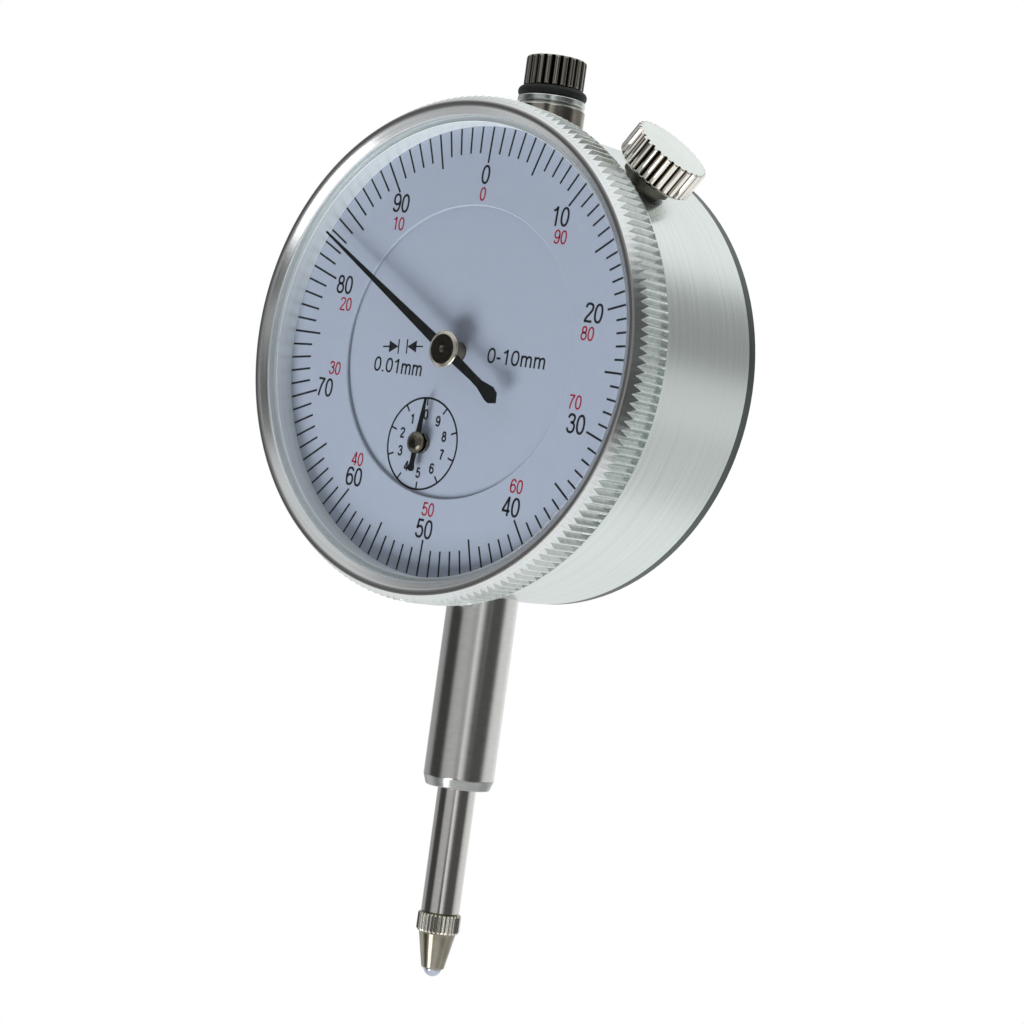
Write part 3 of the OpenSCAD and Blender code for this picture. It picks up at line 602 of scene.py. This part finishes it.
for n_, m_ in {
    "case": M_ALU, "back_cover": M_DARK, "dial_plate": M_BRASS, "dial_plate_pillars": M_BRASS, "dial_plate_screws": M_STEEL,
    "rear_plate": M_BRASS, "rear_plate_pillars": M_BRASS, "rear_plate_screws": M_STEEL, "arbor_bushes": M_JEWEL,
    "guide_plate": M_STEEL, "spring_anchor": M_STEEL, "return_spring": M_SPRING, "hairspring": M_SPRING,
    "hairspring_stud": M_BRASS, "bezel_snap_wire": M_SPRING, "clamp_bush": M_CBUSH_PAINTED_SHADOW, "lower_guide_bush": M_BRASS,
    "guide_pin": M_STEEL, "rack_arbor": M_STEEL, "rack_wheel": M_BRASS, "centre_arbor": M_STEEL,
    "hairspring_arbor": M_STEEL, "hairspring_wheel": M_BRASS, "hairspring_collet": M_BRASS,
    "dial_retaining_ring": M_STEEL, "clamp_shoe": M_BRASS, "spindle": M_SPINDLE, "cover_screws": M_STEEL,
}.items():
    ob = NODES[n_]
    for i in range(max(1, len(ob.data.materials))):
        if len(ob.data.materials) <= i:
            ob.data.materials.append(m_)
        else:
            ob.data.materials[i] = m_

# the case wall's shading follows the true cylinder, also across the seam of its mesh
me = NODES["case"].data
cn = [tuple(c.vector) for c in me.corner_normals]
for p in me.polygons:
    radial = Vector((p.center.x, 0, p.center.z - DZ * MM))
    if abs(p.normal.y) < 0.02 and radial.length > 0.024 and p.normal.dot(radial.normalized()) > 0.985:
        for li in p.loop_indices:
            v = me.vertices[me.loops[li].vertex_index].co
            w = Vector((v.x, 0, v.z - DZ * MM))
            if abs(w.length - radial.length) < 0.0003:
                cn[li] = tuple(w.normalized())
me.normals_split_custom_set(cn)

# ------------------------------------------------------------------ bezel
# local z is towards the viewer, so a depth d behind the dial's face is z = -d
PER = [0.07, 0.46, 0.54, 0.93]
th, _ = ridges(180, PER, lambda p: 0)
crest = np.array([1, 0, 0, 1] * 180, bool)


def by(a, b):
    return np.where(crest, a, b)


CR, VR = 27.9, 27.46
bez = [
    (25.05, 0.0), (25.05, 2.32), (25.10, 2.40), (25.6, 2.40), (25.6, 3.02), (25.68, 3.16), (25.80, 3.25), (26.32, 3.66),
    (26.48, 3.77), (26.66, 3.83), (26.84, 3.85), (26.98, 3.835), (27.08, 3.79), (27.13, 3.72),
    (by(CR - 0.035, VR), by(2.44, 3.10)), (by(CR, VR - 0.015), by(2.36, 3.02)),
    (by(CR, VR - 0.015), -1.00), (by(CR, VR - 0.015), -1.05), (CR - 0.04, -1.052), (CR - 0.04, -1.09), (CR - 0.04, -1.27), (CR - 0.12, -1.36), (27.42, -1.37), (25.75, -1.37), (25.75, -2.6), (25.58, -2.6), (25.58, -3.2), (25.75, -3.2), (25.75, -5.9), (25.3, -5.9), (25.3, 0.0),
]
bezel = lathe("bezel_ring", bez, DIAL, "bezel", [M_FACE, M_KNURL, M_WALL, M_ANN, M_CONE, M_SEAT], angles=th, sharp=24.0)
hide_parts("bezel")
me = bezel.data
mi = []
for p in me.polygons:
    c = p.center
    r = math.hypot(c.x, c.z - DZ * MM) / MM
    d = c.y / MM + DO
    if r > 27.2 and -3.2 < d < 1.37:
        mi.append(1)
    elif r < 25.08 and d > -2.40:
        mi.append(2)
    # the short wall and seat above the window take the darker aluminium, painted shade
    elif r < 25.72 and d < -2.0:
        mi.append(5)
    # the front annulus and inner cone take the darker aluminium: painted shade
    elif 26.50 < r < 27.10 and d < -3.70:
        mi.append(3)
    elif 25.72 < r <= 26.50 and d < -3.1:
        mi.append(4)
    else:
        mi.append(0)
me.polygons.foreach_set("material_index", mi)

crystal = lathe("crystal_window", [(0, 3.2), (25.30, 3.2), (25.42, 3.18), (25.52, 3.12), (25.57, 3.02), (25.57, 2.46), (25.5, 2.41), (0, 2.41)],
                DIAL, "bezel", M_CLEAR, n=256, closed=True)
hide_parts("crystal")

# ------------------------------------------------------------------ dials
od = lathe("outer_dial_ring", [(16.23, -0.38), (16.23, -0.10), (16.33, 0.0), (25.27, 0.0), (25.27, -0.38), (16.29, -0.40)],
           DIAL, "bezel", [M_DIAL, M_EDGE], n=256, sharp=30)
# the chamfer at the ring's inner edge takes the lighter tone, a painted highlight
od.data.polygons.foreach_set("material_index", [1 if math.hypot(p.center.x, p.center.z - DZ * MM) / MM < 16.32 else 0 for p in od.data.polygons])
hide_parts("outer_dial")

idl = lathe("inner_dial_disc", [(1.12, -0.85), (1.12, -0.47), (1.15, -0.45), (16.95, -0.45), (17.0, -0.50), (17.0, -0.85)],
            DIAL, "root", M_DIAL, n=256)
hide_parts("inner_dial")

PT = 0.010   # print thickness, mm


def turned_pt(x, y, a=TURN):
    return (x * math.cos(a) + y * math.sin(a), -x * math.sin(a) + y * math.cos(a))


black, red = [], []
for i in range(100):
    a = i * 2 * math.pi / 100 + TURN
    r0 = 20.97 if i % 5 == 0 else 22.02
    w = 0.24 if i % 5 == 0 else 0.23
    black.append(bar(*pol(r0, a), *pol(24.98, a), w))
NUM = [("0", 0.87, 19.67, 0), ("90", -11.10, 16.31, 0), ("10", 12.17, 15.24, 0), ("20", 18.47, 5.11, 0), ("30", 18.10, -6.69, 0),
       ("40", 10.85, -16.17, 0), ("50", -1.03, -19.74, 0), ("60", -12.58, -14.93, 0), ("70", -19.03, -5.13, 0), ("80", -18.12, 6.77, 0),
       ("0", 0.82, 17.51, 1), ("10", -11.13, 13.98, 1), ("90", 12.55, 13.03, 1), ("80", 17.98, 2.91, 1), ("70", 17.57, -4.39, 1),
       ("60", 11.22, -13.93, 1), ("50", -0.84, -17.56, 1), ("40", -12.41, -12.92, 1), ("30", -17.87, -2.87, 1), ("20", -17.54, 4.54, 1)]
for s, x, y, k in NUM:
    (red if k else black).extend(glyph_quads(s, 1.52 if k else 2.12, 0.125 if k else 0.126, x, y, TURN, cond=1.0))
pb = prism("outer_scale_black", black, DIAL, "bezel", M_BLACK, 0.0, PT)
pr = prism("outer_scale_red", red, DIAL, "bezel", M_RED, 0.0, PT)

inner = []
inner += glyph_quads("0.01mm", 1.63, 0.140, -8.60, -2.05, 0.035, cond=1.20, space=0.05)
inner += glyph_quads("0-10mm", 1.66, 0.140, 8.40, -0.22, 0.035, cond=1.30, space=0.06)
# opposed arrows against two bars
ax0, ay0, ax1, ay1 = -11.30, 0.05, -5.30, 0.36
ux, uy = (ax1 - ax0), (ay1 - ay0)
L_ = math.hypot(ux, uy)
ux, uy = ux / L_, uy / L_


def ap(s, t):
    return (ax0 + ux * s - uy * t, ay0 + uy * s + ux * t)


inner += [
    [ap(0, 0.085), ap(1.2, 0.085), ap(1.2, -0.085), ap(0, -0.085)],
    [ap(0.95, 0.68), ap(2.32, 0.0), ap(0.95, -0.68)],
    [ap(2.28, 0.82), ap(2.46, 0.82), ap(2.46, -0.82), ap(2.28, -0.82)],
    [ap(3.54, 0.82), ap(3.72, 0.82), ap(3.72, -0.82), ap(3.54, -0.82)],
    [ap(3.68, 0.0), ap(5.05, 0.68), ap(5.05, -0.68)],
    [ap(4.8, 0.085), ap(L_, 0.085), ap(L_, -0.085), ap(4.8, -0.085)],
]
# the small counter: circle, ten marks, figures running anticlockwise
SC = (-3.45, -10.40)
for i in range(96):
    a0, a1 = 2 * math.pi * i / 96, 2 * math.pi * (i + 1) / 96
    inner.append([pol(5.21, a0, *SC), pol(5.21, a1, *SC), pol(4.99, a1, *SC), pol(4.99, a0, *SC)])
for i in range(10):
    a = -i * 2 * math.pi / 10
    inner.append(bar(*pol(4.25, a, *SC), *pol(5.08, a, *SC), 0.20))
    fx, fy = pol(3.25, a, *SC)
    inner += glyph_quads(str(i), 1.12, 0.185, fx, fy, 0.0, cond=1.02)
pi_ = prism("inner_scale_black", inner, DIAL, "root", M_BLACK, -0.45, -0.45 + PT)

# ------------------------------------------------------------------ main pointer
PA = math.radians(301.5)


def turn(pts, a, c=(0, 0)):
    ca, sa = math.cos(a), math.sin(a)
    return [(c[0] + x * ca + y * sa, c[1] - x * sa + y * ca) for x, y in pts]


main = [(-0.11, 23.95), (0.11, 23.9), (0.30, 14.0), (0.50, 5.0), (0.58, 1.9), (0.55, -2.4), (0.46, -5.2), (0.46, -6.6), (0.84, -8.4), (0.62, -9.25),
        (-0.3, -9.85), (-0.9, -9.0), (-0.92, -8.4), (-0.5, -6.6), (-0.46, -5.2), (-0.55, -2.4), (-0.58, 1.9), (-0.50, 5.0), (-0.30, 14.0)]
mp = prism("pointer_main", [turn(main, PA)], DIAL, "centre_arbor", M_POINT, 1.75, 1.95, bevel=0.04)
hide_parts("main_pointer")

hub = lathe("pointer_main_hub", [(0, 2.10), (0.16, 2.13), (0.34, 2.24), (0.42, 2.28), (1.58, 2.28), (1.66, 2.27), (1.98, 2.13), (2.05, 2.07), (2.05, 1.99),
                                 (2.02, 1.955), (1.2, 1.955), (1.2, 1.75), (1.08, 1.68), (1.08, -0.62), (0.52, -0.62), (0.52, -0.3), (0, 1.6)],
            DIAL, "centre_arbor", [M_HUB, M_HUBFACE, M_HUBD], n=128, sharp=26)
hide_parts("main_pointer_hub")
hub.data.polygons.foreach_set("material_index", [
    (lambda d, r: 1 if d < -2.0 and r < 1.60 else 2 if d > -1.93 else 0)(p.center.y / MM + DO, math.hypot(p.center.x, p.center.z - DZ * MM) / MM)
    for p in hub.data.polygons])

# ------------------------------------------------------------------ small pointer
SA = math.radians(5.8)
end = smooth_path([(-0.30, -2.0), (-0.33, -2.4), (-0.45, -2.75), (-0.36, -3.12), (0.0, -3.24), (0.36, -3.12), (0.45, -2.75), (0.33, -2.4), (0.30, -2.0)], 4)
small = [(-0.14, 5.05), (0.14, 5.05), (0.36, 0.9), (0.33, -1.2)] + [tuple(p) for p in end[::-1]] + [(-0.33, -1.2), (-0.36, 0.9)]
sp = prism("pointer_small", [turn(small, SA, C1)], DIAL, "rack_arbor", M_POINT, 0.47, 0.62, bevel=0.03)
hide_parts("small_pointer")
SH = DIAL @ Matrix.Translation((C1[0], C1[1], 0))
sh = lathe("pointer_small_hub", [(0, 1.16), (0.38, 1.135), (0.74, 1.05), (1.02, 0.90), (1.19, 0.74), (1.23, 0.66), (1.18, 0.625), (0.6, 0.62), (0.6, 0.47),
                                 (0.78, 0.44), (0.78, 0.10), (1.10, 0.04), (1.15, 0.0), (1.15, -0.34), (1.10, -0.38), (0.5, -0.38), (0.0, 0.3)],
           SH, "rack_arbor", M_HUBS, n=96, sharp=28)
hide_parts("small_pointer_hub")

# the cover keeps its exact solid: only the knurls, rims and figures are finer than the CAD model's

# ------------------------------------------------------------------ stem
stem = lathe("stem_ground", [(3.05, -47.98), (3.52, -48.0), (3.60, -47.97), (3.66, -47.88), (3.97, -46.95), (4.0, -46.80), (4.0, -26.12), (3.19, -26.12),
                             (3.19, -21.6), (2.6, -21.6), (2.6, -40.0), (3.0, -40.0)], SPIN, "root", [M_STEM, M_CHAM], n=192, sharp=40)
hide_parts("stem")
stem.data.polygons.foreach_set("material_index", [1 if p.center.z / MM - DZ < -46.82 and math.hypot(p.center.x, p.center.y) / MM > 3.5 else 0 for p in stem.data.polygons])

# ------------------------------------------------------------------ what stands on top of the case
top_bush = lathe("top_bush", [(2.22, 22.0), (3.19, 22.0), (3.19, 25.8), (3.95, 25.8), (3.95, 29.12), (3.93, 29.22), (3.60, 29.56), (3.52, 29.6), (2.22, 29.6)],
                 SPIN, "root", [M_NICKEL_PAINTED_DARK, M_NICKEL], n=160, sharp=24)
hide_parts("upper_guide_bush")
# the bush's body takes the darker nickel, a painted dark reflection; the bevel band keeps the plain nickel
top_bush.data.polygons.foreach_set("material_index", [1 if 29.16 < p.center.z / MM - DZ < 29.58 else 0 for p in top_bush.data.polygons])
washer = lathe("top_washer_turned", [(2.3, 29.6), (3.72, 29.6)] + [(3.72 + 0.14 * math.sin(a), 29.74 - 0.14 * math.cos(a)) for a in (0.5, 1.0, 1.57)] +
               [(3.86, 30.16)] + [(3.72 + 0.14 * math.cos(a), 30.16 + 0.14 * math.sin(a)) for a in (0.5, 1.0, 1.57)] + [(2.3, 30.3)],
               SPIN, "root", M_ALUW, n=160, sharp=30)
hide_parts("top_washer")
rub = [(2.9, 30.32), (3.50, 30.32)] + [(3.50 + 0.43 * math.sin(a), 30.86 - 0.54 * math.cos(a)) for a in np.linspace(0.15, 3.0, 12)] + [(3.50, 31.4), (2.9, 31.4)]
rubber = lathe("rubber_buffer", rub, SPIN, "spindle", M_RUBBER, n=128, sharp=60)
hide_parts("rubber_ring")

# the lifting cap: straight knurl of 22 ridges
PK = [0.10, 0.25, 0.40, 0.50, 0.60, 0.75, 0.90]


def knurl_profile(R, D):
    """Rounded crests and V valleys: radius over one pitch, crest at 0."""
    def fn(p):
        q = abs(((p + 0.5) % 1.0) - 0.5) * 2        # 0 at the crest, 1 in the valley
        return R - D * (q ** 1.35)
    return fn


PW = [0.13, 0.22, 0.30, 0.42, 0.50, 0.58, 0.70, 0.78, 0.87]


def wide_profile(R, D):
    """Broad crests between narrow V grooves: radius over one pitch, crest at 0."""
    def fn(p):
        q = abs(((p + 0.5) % 1.0) - 0.5) * 2
        return R - 0.03 * q - D * max(0.0, (q - 0.40) / 0.60) ** 1.1
    return fn


tk, rk = ridges(22, [0.0] + PW, wide_profile(3.45, 0.30))
crown = np.minimum(rk, 3.30)
cap = lathe("lifting_cap_knurled", [(0, 33.65), (1.64, 33.65), (1.64, 30.45), (2.22, 30.45), (2.86, 30.42), (2.88, 31.36), (3.05, 31.42), (np.minimum(rk, 3.22), 31.44), (np.minimum(rk, 3.38), 31.54), (rk, 31.68),
                                    (rk, 34.62), (np.minimum(rk, 3.41), 34.75), (np.minimum(rk, 3.33), 34.84), (3.14, 34.89), (2.9, 34.90), (0, 34.90), ],
            SPIN, "spindle", M_CAPK, n=len(tk), angles=tk, closed=False, sharp=34)
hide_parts("lifting_cap")

# ------------------------------------------------------------------ contact point: knurled body, cone and ball
tk2, rk2 = ridges(30, [0.0] + PK, knurl_profile(2.46, 0.20))
cp = lathe("contact_body", [(0, -58.2), (0.97, -58.2), (0.97, -62.2), (2.05, -62.2), (np.minimum(rk2, 2.26), -62.25), (rk2, -62.42), (rk2, -64.18),
                            (np.minimum(rk2, 2.30), -64.36), (2.12, -64.45), (2.10, -64.47), (1.31, -68.34), (1.26, -68.46), (1.12, -68.52), (0, -68.0)],
           SPIN, "spindle", [M_TIP, M_TIPK], n=len(tk2), angles=tk2, closed=False, sharp=34)
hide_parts("contact_point")
# below the knurl the body and cone take the darker nickel, a painted dark reflection
cp.data.polygons.foreach_set("material_index", [1 if p.center.z / MM - DZ > -64.4 else 0 for p in cp.data.polygons])
ball = lathe("contact_ball_polished", [(0, -69.45)] + [(1.05 * math.sin(a), -68.4 - 1.05 * math.cos(a)) for a in np.linspace(0.06, 3.08, 36)] + [(0, -67.35)],
             SPIN, "spindle", M_BALL, n=96, closed=False, sharp=60)
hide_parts("contact_ball")

# ------------------------------------------------------------------ clamp knob
tk3, rk3 = ridges(30, [0.0] + PW, wide_profile(4.55, 0.42))
kn = lathe("clamp_knob_knurled", [(0, 22.0), (1.0, 22.0), (1.0, 27.78), (3.80, 27.80), (3.96, 27.86), (4.20, 28.06), (np.minimum(rk3, 4.34), 28.14), (rk3, 28.34), (rk3, 31.44),
                                  (np.minimum(rk3, 4.49), 31.53), (np.minimum(rk3, 4.40), 31.585), (np.minimum(rk3, 4.33), 31.60), (0, 31.60)],
           CLAMP, "clamp_knob", [M_NICKEL, M_KTOP, M_KNOB], n=len(tk3), angles=tk3, closed=False, sharp=30)
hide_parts("clamp_knob")
ax = Vector((math.sin(CA), 0, math.cos(CA)))
kn.data.polygons.foreach_set("material_index", [
    (lambda h: 1 if h > 31.58 else 2 if 28.2 < h < 31.56 else 0)((p.center / MM - Vector((0, CD - DO, DZ))).dot(ax)) for p in kn.data.polygons])

# ------------------------------------------------------------------ light
scene = bpy.context.scene
scene.view_settings.view_transform = "Standard"
scene.view_settings.look = "None"


def direction(az, el):
    a, e = math.radians(az), math.radians(el)
    return Vector((math.sin(a) * math.cos(e), -math.cos(a) * math.cos(e), math.sin(e)))


world = bpy.data.worlds.new("studio")
scene.world = world
world.use_nodes = True
wt = world.node_tree
wt.nodes.clear()
wo = wt.nodes.new("ShaderNodeOutputWorld")
tcw = wt.nodes.new("ShaderNodeTexCoord")
DIRV = tcw.outputs["Generated"]


def wmath(op, a, b=None, c=None):
    m = wt.nodes.new("ShaderNodeMath")
    m.operation = op
    for i, v in enumerate((a, b, c)):
        if v is None:
            continue
        if isinstance(v, (int, float)):
            m.inputs[i].default_value = v
        else:
            wt.links.new(v, m.inputs[i])
    return m.outputs[0]


def wdot(v):
    m = wt.nodes.new("ShaderNodeVectorMath")
    m.operation = "DOT_PRODUCT"
    wt.links.new(DIRV, m.inputs[0])
    m.inputs[1].default_value = v
    return m.outputs["Value"]


# soft patches seen from the object: azimuth (0 in front, 90 at the right), elevation, half widths, edge, level
PATCHES = [
    (0, -90, 66, 66, 3.0, 0.88),       # pale floor light from below
    (8, 2, 30, 32, 3.0, 0.44),         # front, middle grey
    (-92, 14, 38, 38, 3.0, 0.32),      # left, middle grey
    (-45, -6, 28, 32, 4.0, 0.045),      # front left, dark
    (150, -6, 29, 28, 4.0, 0.77),
    (144, -22, 26, 11, 3.0, 0.60),      # right, behind
    (151, 18, 24, 13, 3.0, 0.33),
    (26, 25, 12, 21, 4.0, 0.05),
    (31, -15, 10, 9, 4.0, 0.07),
    (-66, 47, 24, 12, 3.0, 0.28),
    (87, 6, 38, 36, 5.0, 0.08),       # right, dark
    (-12, 52, 50, 13, 4.0, 0.90),
    (40.5, -2, 2.2, 30, 4.0, 0.75),
    (-86, -31, 27, 15, 4.0, 0.88),
    (-60, -42, 14, 9, 3.0, 0.66),
]
level = None
for az, el, wa, we, pw, v in PATCHES:
    c = direction(az, el)
    side = direction(az + 90, 0)
    up = c.cross(side)
    a = wdot(side)
    b = wdot(up)
    f = wdot(c)
    d2 = wmath("ADD", wmath("POWER", wmath("DIVIDE", a, math.sin(math.radians(min(wa, 80)))), 2.0),
               wmath("POWER", wmath("DIVIDE", b, math.sin(math.radians(min(we, 80)))), 2.0))
    w = wmath("MULTIPLY", wmath("DIVIDE", 1.0, wmath("ADD", 1.0, wmath("POWER", d2, pw))), wmath("GREATER_THAN", f, 0.0))
    if level is None:
        level = wmath("ADD", wmath("MULTIPLY", w, v - 0.97), 0.97)
    else:
        level = wmath("ADD", level, wmath("MULTIPLY", w, wmath("SUBTRACT", v, level)))
comb = wt.nodes.new("ShaderNodeCombineColor")
for i, k in enumerate((0.985, 1.0, 1.0)):
    wt.links.new(wmath("MULTIPLY", level, k), comb.inputs[i])
bgA = wt.nodes.new("ShaderNodeBackground")
wt.links.new(comb.outputs[0], bgA.inputs[0])
bgA.inputs[1].default_value = 1.0
bgB = wt.nodes.new("ShaderNodeBackground")
bgB.inputs[0].default_value = (1, 1, 1, 1)
lp = wt.nodes.new("ShaderNodeLightPath")
mixw = wt.nodes.new("ShaderNodeMixShader")
wt.links.new(lp.outputs["Is Camera Ray"], mixw.inputs[0])
wt.links.new(bgA.outputs[0], mixw.inputs[1])
wt.links.new(bgB.outputs[0], mixw.inputs[2])
wt.links.new(mixw.outputs[0], wo.inputs[0])


def area(name, az, el, dist, size, watts, colour=(1, 1, 1)):
    li = bpy.data.lights.new(name, "AREA")
    li.shape = "DISK"
    li.size = size
    li.energy = watts
    li.color = colour
    ob = bpy.data.objects.new(name, li)
    scene.collection.objects.link(ob)
    tgt = Vector((0, -DO * MM, DZ * MM))
    d = direction(az, el)
    ob.location = tgt + d * dist
    ob.rotation_euler = (-d).to_track_quat("-Z", "Y").to_euler()
    return ob


key = area("key_soft", -11, -47, 0.42, 0.235, 1.90)
key.visible_glossy = False

# a dim strip lamp, faint in diffuse light, that the metal reflects as the long highlight at the upper left of the bezel
strip = area("strip_soft", 5, -35, 0.42, 0.29, 0.31)
strip.data.shape = "ELLIPSE"
strip.data.size = 0.29
strip.data.size_y = 0.13
zk = direction(5, -35)
xk = direction(22, -20) - direction(-15, -47)
xk = (xk - zk * xk.dot(zk)).normalized()
strip.matrix_world = mat_rows(xk, zk.cross(xk), zk, strip.location)

# floor: a wide pale disc well below the part, which is held by its stem
fm = satin_paint("floor_pale", (0.88, 0.88, 0.88), (0.91, 0.91, 0.91), 0.9, 30.0, 0.1)
fme = bpy.data.meshes.new("floor")
k = 96
fv = [(0.9 * math.cos(2 * math.pi * i / k), 0.9 * math.sin(2 * math.pi * i / k), -0.36) for i in range(k)]
fme.from_pydata(fv, [], [tuple(range(k))])
fme.materials.append(fm)
floor = bpy.data.objects.new("floor", fme)
scene.collection.objects.link(floor)
floor.visible_glossy = False

# ------------------------------------------------------------------ camera
cam = bpy.data.cameras.new("camera")
cam.lens = 87.40
cam.sensor_width = 36.0
cam.sensor_fit = "HORIZONTAL"
cam.clip_start = 0.01
cam.clip_end = 20
co = bpy.data.objects.new("camera", cam)
scene.collection.objects.link(co)
R = Matrix(((0.76361, -0.09542, 0.63859), (0.63115, -0.09832, -0.7694), (0.1362, 0.99057, -0.01486))).to_4x4()
# tidy the axes so that they are exactly square to each other
xa = Vector((R[0][0], R[1][0], R[2][0])).normalized()
za = Vector((R[0][2], R[1][2], R[2][2]))
za = (za - xa * za.dot(xa)).normalized()
ya = za.cross(xa)
loc = Vector((180.586, -214.622, 16.015)) * MM
co.matrix_world = mat_rows(xa, ya, za, loc)
scene.camera = co

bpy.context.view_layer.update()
